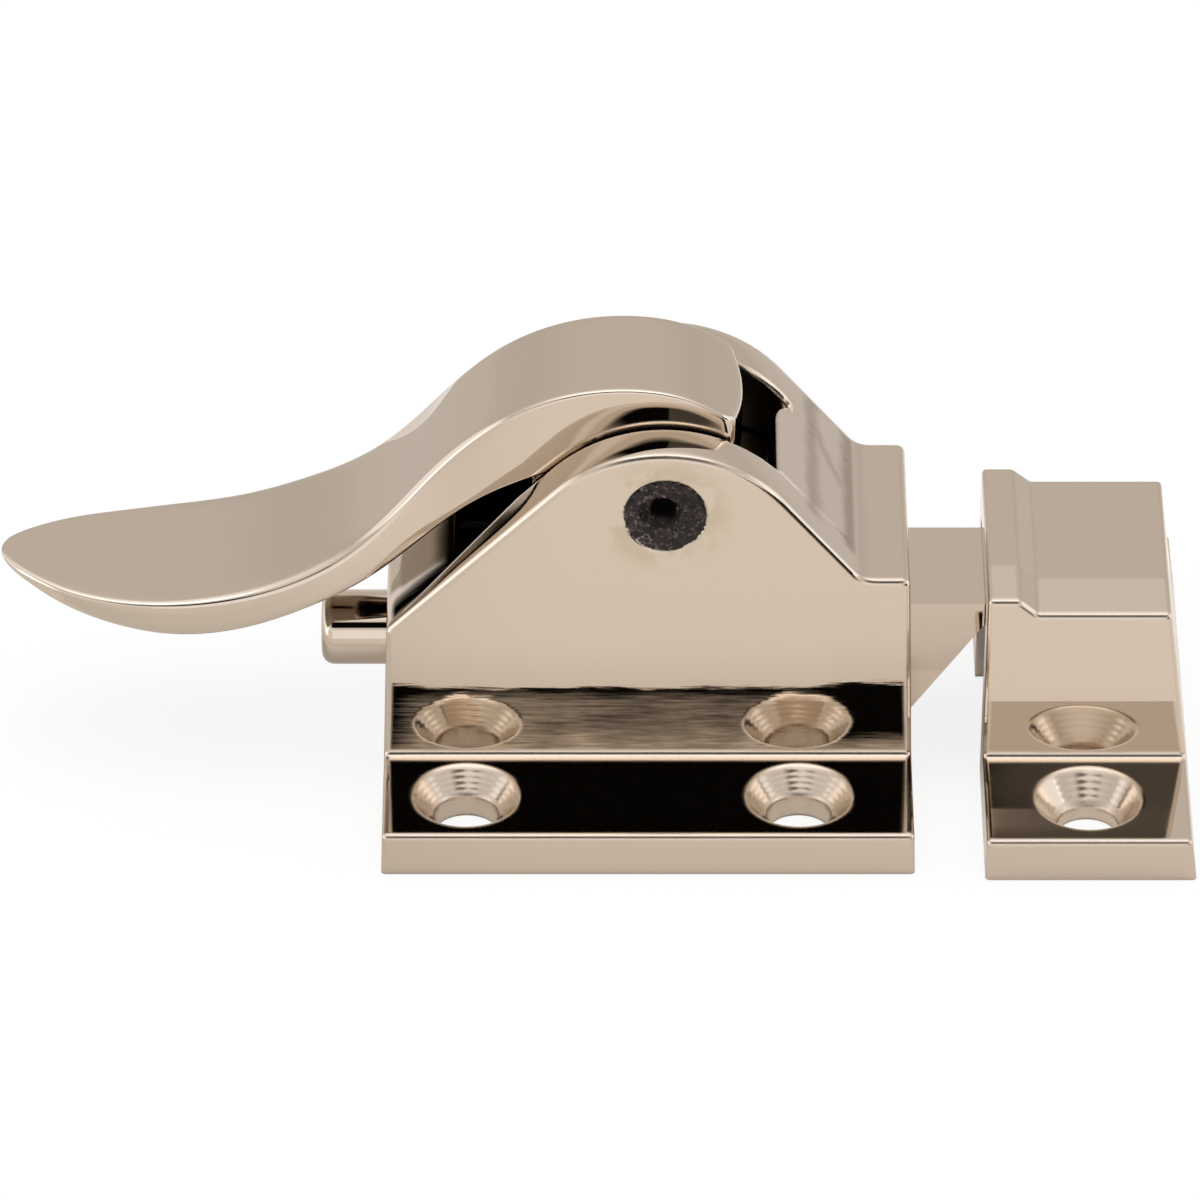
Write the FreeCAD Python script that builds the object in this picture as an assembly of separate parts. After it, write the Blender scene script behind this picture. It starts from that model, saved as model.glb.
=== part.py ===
import FreeCAD, Part
import math
import os

# Cupboard catch latch: a cast case with a spring bolt, a rocking lever and a separate strike.
# Sizes are in millimetres. +X runs from the case towards the strike, +Y away from the viewer
# and +Z off the door. The origin is the centre of the case's four screw holes, on its back.

# Case
case_length = 49.55
case_offset = 1.425         # centre of the case, to the right of its screw pattern
case_depth = 49.5           # over both flanges
case_body_depth = 23.3
flange_thickness = 4.35
left_wall_height = 18.3
left_wall_draft = 0.45      # lean of the left end over its height
right_wall_draft = 0.5
left_slope = 44.5           # degrees
right_slope = 50.0          # degrees
crown_radius = 14.5
shelf_height = 24.0
shelf_length = 4.5
shelf_fillet = 2.6
profile_corner_radius = 0.8
edge_radius = 0.45
root_fillet = 0.5
flange_edge_radius = 0.4

# Slot between the cheeks
cheek_thickness = 4.7
left_end_wall = 6.35
slot_reach = 10.25          # from the pivot's axis to the slot's right end
slot_flare = 1.7            # the right end curves back to its rear corner
slot_flare_start = 2.2      # how far behind the middle that curve starts
slot_corner_radius = 0.5
slot_edge_radius = 0.35

# Shallow troughs in both slopes, which carry on from the slot between gently leaning sides
trough_side_angle = 20.0    # degrees
trough_room = 1.2           # how far the leaning sides reach from the slope's surface
right_trough_start = 0.3    # depth at the slot
right_trough_depth = 0.65   # depth at its crease
right_trough_end = 0.15
right_trough_crease = 3.2   # from the slot's right end
right_trough_length = 6.75  # from the slot's right end to the shelf's fillet
left_trough_depth = 0.85    # depth at the slot
left_trough_width = 22.2    # over its sides at the left end
left_trough_margin = 1.3    # from the left end to where it starts
left_trough_reach = 7.0     # from the slot's left end to where its sides meet the slot's

# Screw holes
screw_spacing_x = 31.0
screw_spacing_y = 36.4
screw_hole_diameter = 5.9
countersink_diameter = 10.1
countersink_angle = 90.0    # degrees
countersink_floor_diameter = 6.6
countersink_step = 0.35

# Pivot pin
pivot_x = 3.0
pivot_height = 31.2
pin_head_diameter = 7.5
pin_shank_diameter = 6.0
pin_rear_depth = 3.2        # how far the shank enters the rear cheek
socket_size = 3.3
socket_depth = 3.4
pin_head_chamfer = 0.25

# Latch bolt
bolt_width = 12.9
bolt_height = 12.4
bolt_base_height = 5.5
bolt_throw = 8.35           # how far the nose stands out of the case
bolt_travel = 7.8
bevel_angle = 54.5          # degrees from the mounting face
bolt_edge_radius = 0.3
bolt_shoulder_land = 3.5    # from the notch to the shoulder that the spring pushes
tail_diameter = 7.05
tail_height = 11.0
tail_reach = 5.85           # how far the tail stands out of the case
tail_end_radius = 1.2
bolt_slide_clearance = 0.12
tail_clearance = 0.08
back_pocket_width = 10.4

# Lever
lever_sweep = 26.0          # degrees
lever_tip_reach = 62.1      # from the pivot's axis to the spoon's tip
lever_nose_reach = 7.2      # from the pivot's axis to the hump's end
lever_spoon_width = 17.9
lever_neck_width = 13.0
lever_hump_width = 13.2
lever_nose_bow = 0.7
lever_nose_depth = 4.0      # height of the hump's end face
lever_edge_radius = 0.5
lever_under_radius = 0.3
lever_nose_corner_radius = 1.2
hub_radius = 6.2
heel_height = 3.0
heel_corner_radius = 0.6
finger_width = 8.0
finger_tip_radius = 2.2
finger_play = 0.25
finger_swing_room = 2.2
hub_clearance = 0.05
heel_drop = 6.4             # from the pivot's axis to the heel
heel_clearance = 0.15

# Lever curves: each point's distance from the pivot's axis towards the tip, and its height
# above that axis, as shares of the tip's reach
lever_top_shares = [(0.9179, -0.1892), (0.8213, -0.1940), (0.7246, -0.1884), (0.6280, -0.1707),
                    (0.5314, -0.1337), (0.4428, -0.0778), (0.3543, 0.0148), (0.2738, 0.0936),
                    (0.1771, 0.1482), (0.0644, 0.1683), (-0.0322, 0.1527)]
lever_under_shares = [(0.2061, 0.0089), (0.2818, -0.0306), (0.3623, -0.0958), (0.4428, -0.1549),
                      (0.5314, -0.1965), (0.6280, -0.2319), (0.7246, -0.2464), (0.8293, -0.2367),
                      (0.9179, -0.2158)]
lever_tip_height = -0.1795
lever_nose_height = 0.1060
lever_tip_thickness = 0.6
# Spoon's half width along the lever, as shares of the tip's reach and of the full half width
lever_spoon_shares = [(0.9879, 0.240), (0.9581, 0.450), (0.9018, 0.700), (0.8261, 0.880),
                      (0.7375, 0.977), (0.6361, 1.000), (0.5314, 0.975), (0.4428, 0.860)]
lever_neck_shares = (0.3543, 0.2738)
lever_hump_share = 0.1449

# Return spring
spring_wire = 0.8
spring_mean_radius = 4.5
spring_turns = 6.0
spring_end_gap = 0.05

# Strike
strike_gap = 6.5            # between the case and the strike
strike_length = 19.6
strike_depth = 51.4
strike_base_depth = 24.0
strike_top_depth = 21.8
strike_roof_height = 20.25
strike_band_height = 21.7
strike_band_width = 3.2
strike_band_run = 1.75      # length of the slope from the band down to the roof
strike_left_draft = 0.3
strike_right_draft = 2.3     # lean of the right end over its height
strike_facet_depth = 5.3
strike_facet_angle = 5.0    # degrees
strike_hole_setback = 9.7   # from the strike's left face
strike_hole_spacing = 37.4
strike_hole_diameter = 5.6
strike_countersink_angle = 76.0
pocket_length = 15.6
pocket_width = 15.4
pocket_height = 18.2
pocket_corner_radius = 1.5

# Worked-out places
case_left = case_offset - case_length / 2
case_right = case_offset + case_length / 2
body_half = case_body_depth / 2
slot_half = body_half - cheek_thickness
slot_left = case_left + left_wall_draft + left_end_wall
slot_right = pivot_x + slot_reach
window_face = case_right - right_wall_draft
bolt_nose_x = window_face + bolt_throw
bolt_top_height = bolt_base_height + bolt_height
tail_end_x = case_left - tail_reach
finger_tip_depth = bolt_travel / math.sin(math.radians(lever_sweep))
notch_left = pivot_x - finger_tip_radius - finger_play
notch_right = pivot_x + finger_tip_radius + finger_swing_room
notch_floor = pivot_height - finger_tip_depth - finger_tip_radius - 2 * finger_play
bolt_shoulder_x = notch_left - bolt_shoulder_land
strike_left = case_right + strike_gap
strike_right = strike_left + strike_length
strike_hole_x = strike_left + strike_hole_setback


def vec(x, y, z):
    return FreeCAD.Vector(x, y, z)


def corner_arc(before, corner, after, radius):
    """Give the arc that rounds a corner, as its start, middle and end."""
    to_before = (before - corner).normalize()
    to_after = (after - corner).normalize()
    half = to_before.getAngle(to_after) / 2
    setback = radius / math.tan(half)
    bisector = (to_before + to_after).normalize()
    centre = corner + bisector * (radius / math.sin(half))
    middle = centre - bisector * radius
    return corner + to_before * setback, middle, corner + to_after * setback


def rounded_wire(corners):
    """Close an outline of (point, radius) corners; a radius of 0 stays sharp."""
    points = [point for point, radius in corners]
    count = len(points)
    edges = []
    starts = []
    ends = []
    for i, (point, radius) in enumerate(corners):
        if radius > 0:
            start, middle, end = corner_arc(points[i - 1], point, points[(i + 1) % count], radius)
            edges.append((i, Part.Arc(start, middle, end).toShape()))
        else:
            start, end = point, point
        starts.append(start)
        ends.append(end)
    for i in range(count):
        following = starts[(i + 1) % count]
        if ends[i].distanceToPoint(following) > 1e-6:
            edges.append((i + 0.5, Part.LineSegment(ends[i], following).toShape()))
    ordered = [edge for position, edge in sorted(edges, key=lambda item: item[0])]
    return Part.Wire(Part.__sortEdges__(ordered))


def prism(corners, direction):
    return Part.Face(rounded_wire(corners)).extrude(direction)


def box(low, high):
    return Part.makeBox(high.x - low.x, high.y - low.y, high.z - low.z, low)


def sharp_edges(shape, wanted):
    """List the edges where two faces meet at an angle and whose middle is wanted."""
    found = []
    for edge in shape.Edges:
        faces = shape.ancestorsOfType(edge, Part.Face)
        if len(faces) != 2:
            continue
        middle = edge.valueAt((edge.FirstParameter + edge.LastParameter) / 2)
        if not wanted(middle):
            continue
        normals = []
        for face in faces:
            u, v = face.Surface.parameter(middle)
            normals.append(face.normalAt(u, v))
        if normals[0].getAngle(normals[1]) > math.radians(8):
            found.append(edge)
    return found


def round_edges(shape, radius, wanted):
    return shape.makeFillet(radius, sharp_edges(shape, wanted))


def screw_cutter(x, y, hole_diameter, cone_angle, floor_diameter):
    """Bore and countersink for one flat-head screw through a flange."""
    top = flange_thickness
    rim = countersink_diameter / 2
    floor = floor_diameter / 2
    bore = hole_diameter / 2
    slope = math.tan(math.radians(cone_angle / 2))
    cone_floor = top - (rim - floor) / slope
    margin = 1.0
    outline = [
        vec(0, 0, top + margin),
        vec(rim + margin * slope, 0, top + margin),
        vec(floor, 0, cone_floor),
        vec(bore, 0, cone_floor - (countersink_step if floor > bore else 0)),
        vec(bore, 0, -margin),
        vec(0, 0, -margin),
    ]
    points = [outline[0]]
    for point in outline[1:]:
        if point.distanceToPoint(points[-1]) > 1e-6:
            points.append(point)
    profile = Part.Face(Part.makePolygon(points + [points[0]]))
    cutter = profile.revolve(vec(0, 0, 0), vec(0, 0, 1), 360)
    cutter.translate(vec(x, y, 0))
    return cutter


def case_outline(y):
    """Side outline of the case: left wall, slope, crown, slope, shelf and right wall."""
    left_x = case_left + left_wall_draft
    right_x = case_right - right_wall_draft
    left_rise = math.tan(math.radians(left_slope))
    right_fall = math.tan(math.radians(right_slope))
    shelf_x = right_x - shelf_length
    apex_x = (shelf_height + right_fall * shelf_x - left_wall_height + left_rise * left_x)
    apex_x = apex_x / (left_rise + right_fall)
    apex_z = left_wall_height + left_rise * (apex_x - left_x)
    return [
        (vec(case_left, y, 0), 0),
        (vec(left_x, y, left_wall_height), profile_corner_radius),
        (vec(apex_x, y, apex_z), crown_radius),
        (vec(shelf_x, y, shelf_height), shelf_fillet),
        (vec(right_x, y, shelf_height), profile_corner_radius),
        (vec(case_right, y, 0), 0),
    ]


def flanged_section(x, half_depth, base_half, top_half, top_height):
    """End section of a body that stands on a flange, wider at its foot if it has draft."""
    return [
        (vec(x, -half_depth, 0), 0),
        (vec(x, -half_depth, flange_thickness), flange_edge_radius),
        (vec(x, -base_half, flange_thickness), root_fillet),
        (vec(x, -top_half, top_height), 0),
        (vec(x, top_half, top_height), 0),
        (vec(x, base_half, flange_thickness), root_fillet),
        (vec(x, half_depth, flange_thickness), flange_edge_radius),
        (vec(x, half_depth, 0), 0),
    ]


def slot_cutter():
    """Opening for the lever: parallel sides, and a right end that curves back to the rear."""
    top = pivot_height + crown_radius
    base = bolt_top_height + bolt_slide_clearance
    run = slot_half - slot_flare_start
    arc_radius = (slot_flare ** 2 + run ** 2) / (2 * slot_flare)
    turn = math.asin(run / arc_radius) / 2
    bend = vec(slot_right + arc_radius * (1 - math.cos(turn)),
               slot_flare_start + arc_radius * math.sin(turn), base)
    near_right = vec(slot_right, -slot_half, base)
    arc_start = vec(slot_right, slot_flare_start, base)
    far_right = vec(slot_right + slot_flare, slot_half, base)
    far_left = vec(slot_left, slot_half, base)
    near_left = vec(slot_left, -slot_half, base)
    outline = Part.Wire([
        Part.LineSegment(near_left, near_right).toShape(),
        Part.LineSegment(near_right, arc_start).toShape(),
        Part.Arc(arc_start, bend, far_right).toShape(),
        Part.LineSegment(far_right, far_left).toShape(),
        Part.LineSegment(far_left, near_left).toShape(),
    ])
    slot = Part.Face(outline).extrude(vec(0, 0, top - base))
    upright = sharp_edges(slot, lambda p: abs(p.z - (top + base) / 2) < 1)
    return slot.makeFillet(slot_corner_radius, upright)


def left_slope_point(x):
    """Point on the left slope's surface, in the middle of the case."""
    rise = (x - case_left - left_wall_draft) * math.tan(math.radians(left_slope))
    return vec(x, 0, left_wall_height + rise)


def right_slope_point(x):
    """Point on the right slope's surface, in the middle of the case."""
    shelf_x = case_right - right_wall_draft - shelf_length
    return vec(x, 0, shelf_height + (shelf_x - x) * math.tan(math.radians(right_slope)))


def trough_section(point, up, half_width):
    """Section between two leaning sides, which are a half width apart at the slope's surface."""
    spread = trough_room / math.tan(math.radians(trough_side_angle))
    low = point - up * trough_room
    high = point + up * trough_room
    across = vec(0, 1, 0)
    corners = [
        low - across * (half_width - spread),
        low + across * (half_width - spread),
        high + across * (half_width + spread),
        high - across * (half_width + spread),
    ]
    return Part.makePolygon(corners + [corners[0]])


def between_sides(start, end, start_half, end_half):
    """Solid along a slope between a trough's two leaning sides."""
    along = end - start
    up = vec(-along.z, 0, along.x).normalize()
    sections = [trough_section(start, up, start_half), trough_section(end, up, end_half)]
    return Part.makeLoft(sections, True, True)


def above_floor(points):
    """Solid above a trough's floor, over the case's whole depth."""
    shift = vec(0, -body_half, 0)
    floor = [point + shift for point in points]
    above = vec(0, 0, shelf_length)
    outline = floor + [floor[-1] + above, floor[0] + above]
    return Part.Face(Part.makePolygon(outline + [outline[0]])).extrude(vec(0, 2 * body_half, 0))


def right_trough():
    """Two shallow facets from the slot down to the shelf."""
    first = slot_right - slot_edge_radius
    last = slot_right + right_trough_length + right_trough_end
    floor = []
    for x, depth in ((first, right_trough_start), (slot_right + right_trough_crease, right_trough_depth),
                     (slot_right + right_trough_length, right_trough_end), (last, 0)):
        floor.append(right_slope_point(x) - vec(0, 0, depth))
    sides = between_sides(right_slope_point(first - 1), right_slope_point(last + 1), slot_half, slot_half)
    return above_floor(floor).common(sides)


def left_trough():
    """Shallow wedge up to the slot, whose sides also take the corners off the cheeks."""
    first = case_left + left_wall_draft + left_trough_margin
    last = slot_left + left_trough_reach
    floor = [left_slope_point(first)]
    for x in (slot_left, last):
        floor.append(left_slope_point(x) - vec(0, 0, left_trough_depth))
    wide = left_slope_point(case_left + left_wall_draft)
    sides = between_sides(wide, left_slope_point(last), left_trough_width / 2, slot_half)
    return above_floor(floor).common(sides)


def bolt_channel():
    """Straight passage for the bolt, open through the window in the right end."""
    half = bolt_width / 2 + bolt_slide_clearance
    low = vec(slot_left, -half, bolt_base_height - bolt_slide_clearance)
    high = vec(case_right + 1, half, bolt_top_height + bolt_slide_clearance)
    return box(low, high)


def back_pocket():
    """Opening in the case's back below the bolt, between the two rails it rides on."""
    half = back_pocket_width / 2
    right = window_face - cheek_thickness
    corners = [
        (vec(slot_left, -half, 0), slot_corner_radius),
        (vec(right, -half, 0), pocket_corner_radius),
        (vec(right, half, 0), pocket_corner_radius),
        (vec(slot_left, half, 0), slot_corner_radius),
    ]
    pocket = prism(corners, vec(0, 0, bolt_base_height + 1))
    pocket.translate(vec(0, 0, -0.5))
    return pocket


def tail_bore():
    radius = tail_diameter / 2 + tail_clearance
    start = vec(case_left - 1, 0, tail_height)
    return Part.makeCylinder(radius, slot_left - case_left + 2, start, vec(1, 0, 0))


def make_case():
    """One casting: two flanges, two cheeks with a slot, a bolt window and a tail bore."""
    raw = prism(case_outline(-case_depth / 2), vec(0, case_depth, 0))
    section = flanged_section(case_left - 1, case_depth / 2, body_half, body_half,
                              pivot_height + crown_radius)
    raw = raw.common(prism(section, vec(case_length + 2, 0, 0)))
    raw = round_edges(raw, edge_radius, lambda p: p.z > flange_edge_radius)
    case = raw.cut(slot_cutter())
    case = round_edges(case, slot_edge_radius, on_slot_rim)
    for cutter in (right_trough(), left_trough(), bolt_channel(), back_pocket(), tail_bore()):
        case = case.cut(cutter)
    case = case.cut(pin_body(-body_half - 1))
    for x in (-screw_spacing_x / 2, screw_spacing_x / 2):
        for y in (-screw_spacing_y / 2, screw_spacing_y / 2):
            case = case.cut(screw_cutter(x, y, screw_hole_diameter, countersink_angle,
                                         countersink_floor_diameter))
    return case


def on_slot_rim(point):
    """Tell the slot's upper rim from its floor and its upright corners."""
    inside_x = slot_left - 0.01 < point.x < slot_right + slot_flare + 0.01
    inside_y = abs(point.y) < slot_half + 0.01
    return inside_x and inside_y and point.z > bolt_top_height + 2 * slot_corner_radius


def pin_body(front):
    """Pin's head from a given front plane to the slot, and its shank into the rear cheek."""
    head = Part.makeCylinder(pin_head_diameter / 2, -slot_half - front,
                             vec(pivot_x, front, pivot_height), vec(0, 1, 0))
    shank = Part.makeCylinder(pin_shank_diameter / 2, 2 * slot_half + pin_rear_depth,
                              vec(pivot_x, -slot_half, pivot_height), vec(0, 1, 0))
    return head.fuse(shank)


def make_pivot_pin():
    """Stepped pin: a flush head with a socket in the front cheek, a shank through the lever."""
    front = -body_half
    pin = pin_body(front).removeSplitter()
    rim = [edge for edge in pin.Edges if abs(edge.BoundBox.YMax - front) < 1e-6]
    pin = pin.makeChamfer(pin_head_chamfer, rim)
    corners = []
    for k in range(6):
        angle = math.radians(60 * k + 30)
        reach = socket_size / 2 / math.cos(math.radians(30))
        x = pivot_x + reach * math.cos(angle)
        z = pivot_height + reach * math.sin(angle)
        corners.append((vec(x, front - 0.5, z), 0))
    return pin.cut(prism(corners, vec(0, socket_depth + 0.5, 0)))


def bolt_outline(y):
    """Side outline of the bolt's block, with the notch for the finger and the bevelled nose."""
    bevel_rise = bolt_throw * math.tan(math.radians(bevel_angle))
    return [
        (vec(bolt_shoulder_x, y, bolt_base_height), 0),
        (vec(bolt_shoulder_x, y, bolt_top_height), 0),
        (vec(notch_left, y, bolt_top_height), 0),
        (vec(notch_left, y, notch_floor), bolt_edge_radius),
        (vec(notch_right, y, notch_floor), bolt_edge_radius),
        (vec(notch_right, y, bolt_top_height), 0),
        (vec(bolt_nose_x, y, bolt_top_height), bolt_edge_radius),
        (vec(bolt_nose_x, y, bolt_base_height + bevel_rise), bolt_edge_radius),
        (vec(window_face, y, bolt_base_height), bolt_edge_radius),
    ]


def make_latch_bolt():
    """Block with a bevelled nose and, in one piece with it, the round tail that guides it."""
    block = prism(bolt_outline(-bolt_width / 2), vec(0, bolt_width, 0))
    tail = Part.makeCylinder(tail_diameter / 2, bolt_shoulder_x - tail_end_x + 1,
                             vec(tail_end_x, 0, tail_height), vec(1, 0, 0))
    end = [edge for edge in tail.Edges if abs(edge.BoundBox.XMax - tail_end_x) < 1e-6]
    tail = tail.makeFillet(tail_end_radius, end)
    return block.fuse(tail).removeSplitter()


def spline(points):
    curve = Part.BSplineCurve()
    curve.interpolate(points)
    return curve.toShape()


def lever_point(share, height, y):
    return vec(pivot_x - share * lever_tip_reach, y, pivot_height + height * lever_tip_reach)


def lever_top_curve(y):
    """Upper side of the lever, from the tip over the hump to the nose."""
    nose = vec(pivot_x + lever_nose_reach, y, pivot_height + lever_nose_height * lever_tip_reach)
    middle = [lever_point(share, height, y) for share, height in lever_top_shares]
    return [lever_point(1, lever_tip_height, y)] + middle + [nose]


def lever_under_curve(y):
    """Underside of the spoon and neck, from the slot back to the tip."""
    tip = lever_point(1, lever_tip_height, y) - vec(0, 0, lever_tip_thickness)
    return [lever_point(share, height, y) for share, height in lever_under_shares] + [tip]


def lever_side_face(y):
    """Side outline of the spoon, neck and hump, down to the top of the hub."""
    top = lever_top_curve(y)
    under = lever_under_curve(y)
    nose = top[-1]
    nose_base = vec(nose.x, y, nose.z - lever_nose_depth)
    hub_right = vec(pivot_x + hub_radius, y, pivot_height)
    hub_left = vec(pivot_x - hub_radius, y, pivot_height - hub_radius)
    lower = [nose, nose_base, hub_right, hub_left, under[0]]
    edges = [spline(top)]
    for start, end in zip(lower, lower[1:]):
        edges.append(Part.LineSegment(start, end).toShape())
    edges.append(spline(under))
    edges.append(Part.LineSegment(under[-1], top[0]).toShape())
    return Part.Face(Part.Wire(edges))


def lever_hub():
    """Boss around the pivot, with the heel that stops the lever on the slot's right end."""
    y = -lever_hump_width / 2
    hub = Part.makeCylinder(hub_radius, lever_hump_width, vec(pivot_x, y, pivot_height),
                            vec(0, 1, 0))
    heel_x = slot_right - heel_clearance
    heel_z = pivot_height - heel_drop
    heel = prism([
        (vec(pivot_x, y, pivot_height), 0),
        (vec(heel_x, y, heel_z + heel_height), heel_corner_radius),
        (vec(heel_x, y, heel_z), heel_corner_radius),
        (vec(pivot_x, y, pivot_height - hub_radius), 0),
    ], vec(0, lever_hump_width, 0))
    return hub.fuse(heel)


def lever_plan_face(z):
    """Plan outline of the lever: rounded spoon, narrow neck, straight hump, bowed nose."""
    tip = pivot_x - lever_tip_reach
    nose = pivot_x + lever_nose_reach
    spoon = lever_spoon_width / 2
    neck = lever_neck_width / 2
    hump = lever_hump_width / 2
    side = [(share, width * spoon) for share, width in lever_spoon_shares]
    side += [(share, neck) for share in lever_neck_shares]
    side += [(lever_hump_share, (neck + 3 * hump) / 4)]
    side = [(pivot_x - share * lever_tip_reach, width) for share, width in side]
    side += [(nose - lever_nose_bow - 2 * lever_nose_corner_radius, hump)]
    front = [vec(x, -y, z) for x, y in reversed(side)]
    rear = [vec(x, y, z) for x, y in side]
    outline = spline(front + [vec(tip, 0, z)] + rear)
    corner = lever_nose_corner_radius
    start = vec(nose - lever_nose_bow - corner, hump, z)
    near_start = vec(start.x, -hump, z)
    rise = vec(nose - lever_nose_bow, hump - corner, z)
    near_rise = vec(rise.x, -rise.y, z)
    shift = corner * (1 - math.sqrt(0.5))
    bend = vec(rise.x - shift, hump - shift, z)
    near_bend = vec(bend.x, -bend.y, z)
    edges = [
        outline,
        Part.LineSegment(rear[-1], start).toShape(),
        Part.Arc(start, bend, rise).toShape(),
        Part.Arc(rise, vec(nose, 0, z), near_rise).toShape(),
        Part.Arc(near_rise, near_bend, near_start).toShape(),
        Part.LineSegment(near_start, front[0]).toShape(),
    ]
    return Part.Face(Part.Wire(edges))


def lever_finger():
    """Finger below the hub, with a round tip that sits in the bolt's notch."""
    y = -finger_width / 2
    radius = finger_tip_radius
    tip_z = pivot_height - finger_tip_depth
    top_z = pivot_height - (hub_radius + pin_shank_diameter / 2) / 2
    outline = Part.Wire([
        Part.LineSegment(vec(pivot_x - radius, y, top_z), vec(pivot_x + radius, y, top_z)).toShape(),
        Part.LineSegment(vec(pivot_x + radius, y, top_z), vec(pivot_x + radius, y, tip_z)).toShape(),
        Part.Arc(vec(pivot_x + radius, y, tip_z), vec(pivot_x, y, tip_z - radius),
                 vec(pivot_x - radius, y, tip_z)).toShape(),
        Part.LineSegment(vec(pivot_x - radius, y, tip_z), vec(pivot_x - radius, y, top_z)).toShape(),
    ])
    return Part.Face(outline).extrude(vec(0, finger_width, 0))


def make_lever():
    """One casting: spoon, neck, hump and hub, with the finger and the heel that stops it."""
    width = 1.2 * lever_spoon_width
    slab = lever_side_face(-width / 2).extrude(vec(0, width, 0))
    column = lever_plan_face(0).extrude(vec(0, 0, 2 * pivot_height))
    blank = slab.common(column)
    top_face = max(blank.Faces, key=lambda face: face.CenterOfMass.z)
    blank = blank.makeFillet(lever_edge_radius, top_face.Edges)
    under_face = min(blank.Faces, key=lambda face: face.CenterOfMass.z)
    long_edges = [edge for edge in under_face.Edges if edge.Length > lever_spoon_width]
    blank = blank.makeFillet(lever_under_radius, long_edges)
    lever = blank.fuse([lever_hub(), lever_finger()]).removeSplitter()
    bore = Part.makeCylinder(pin_shank_diameter / 2 + hub_clearance, width,
                             vec(pivot_x, -width / 2, pivot_height), vec(0, 1, 0))
    return lever.cut(bore)


def make_spring():
    """Round-wire coil between the case's left end and the bolt's shoulder."""
    start = slot_left + spring_wire / 2 + spring_end_gap
    length = bolt_shoulder_x - start - spring_wire / 2 - spring_end_gap
    helix = Part.makeHelix(length / spring_turns, length, spring_mean_radius)
    helix.rotate(vec(0, 0, 0), vec(0, 1, 0), 90)
    helix.translate(vec(start, 0, tail_height))
    begin = helix.Edges[0].valueAt(helix.Edges[0].FirstParameter)
    along = helix.Edges[0].tangentAt(helix.Edges[0].FirstParameter)
    section = Part.Wire(Part.Circle(begin, along, spring_wire / 2).toShape())
    return Part.Wire(helix.Edges).makePipeShell([section], True, True)


def strike_roof_outline(y):
    """Outline under the strike's top: raised band at the left, slope and roof."""
    band_right = strike_left + strike_band_width
    return [
        (vec(strike_left - 1, y, 0), 0),
        (vec(strike_left - 1, y, strike_band_height), 0),
        (vec(band_right, y, strike_band_height), profile_corner_radius),
        (vec(band_right + strike_band_run, y, strike_roof_height), profile_corner_radius / 2),
        (vec(strike_right + 1, y, strike_roof_height), 0),
        (vec(strike_right + 1, y, 0), 0),
    ]


def strike_under_roof():
    """Solid under the roof, whose front part falls towards the viewer by a few degrees."""
    crease = -strike_top_depth / 2 + strike_facet_depth
    reach = strike_depth / 2
    fall = reach * math.tan(math.radians(strike_facet_angle))
    outline = strike_roof_outline(crease)
    rear = prism(outline, vec(0, strike_depth / 2 - crease, 0))
    front = prism(outline, vec(0, -reach, -fall))
    return rear.fuse(front)


def strike_ends():
    """Solid between the strike's two leaning end faces."""
    height = strike_band_height + 1
    left_lean = strike_left_draft * height / strike_band_height
    right_lean = strike_right_draft * height / strike_roof_height
    y = -strike_depth / 2 - 1
    return prism([
        (vec(strike_left, y, 0), 0),
        (vec(strike_left + left_lean, y, height), 0),
        (vec(strike_right - right_lean, y, height), 0),
        (vec(strike_right, y, 0), 0),
    ], vec(0, strike_depth + 2, 0))


def strike_pocket():
    """Pocket that takes the bolt's nose, open at the left and at the back."""
    half = pocket_width / 2
    corners = [
        (vec(strike_left - 1, -half, -1), 0),
        (vec(strike_left + pocket_length, -half, -1), pocket_corner_radius),
        (vec(strike_left + pocket_length, half, -1), pocket_corner_radius),
        (vec(strike_left - 1, half, -1), 0),
    ]
    return prism(corners, vec(0, 0, pocket_height + 1))


def make_strike():
    """One hollow casting on its own two flanges."""
    section = flanged_section(strike_left - 1, strike_depth / 2, strike_base_depth / 2,
                              strike_top_depth / 2, strike_band_height + 1)
    raw = prism(section, vec(strike_length + 2, 0, 0))
    raw = raw.common(strike_ends()).common(strike_under_roof()).removeSplitter()
    raw = round_edges(raw, edge_radius, lambda p: p.z > flange_edge_radius)
    strike = raw.cut(strike_pocket())
    for y in (-strike_hole_spacing / 2, strike_hole_spacing / 2):
        strike = strike.cut(screw_cutter(strike_hole_x, y, strike_hole_diameter,
                                         strike_countersink_angle, strike_hole_diameter))
    return strike


def main():
    os.makedirs("parts", exist_ok=True)
    pieces = {
        "case": make_case(),
        "lever": make_lever(),
        "pivot_pin": make_pivot_pin(),
        "latch_bolt": make_latch_bolt(),
        "bolt_spring": make_spring(),
        "strike": make_strike(),
    }
    for name, shape in pieces.items():
        shape.exportStep("parts/" + name + ".step")
        print(name, "valid", shape.isValid(), "solids", len(shape.Solids),
              "volume", round(shape.Volume, 1), shape.BoundBox)


main()
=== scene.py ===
import math
import bpy
import bmesh
import numpy as np
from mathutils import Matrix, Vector, noise as fractal


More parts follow.
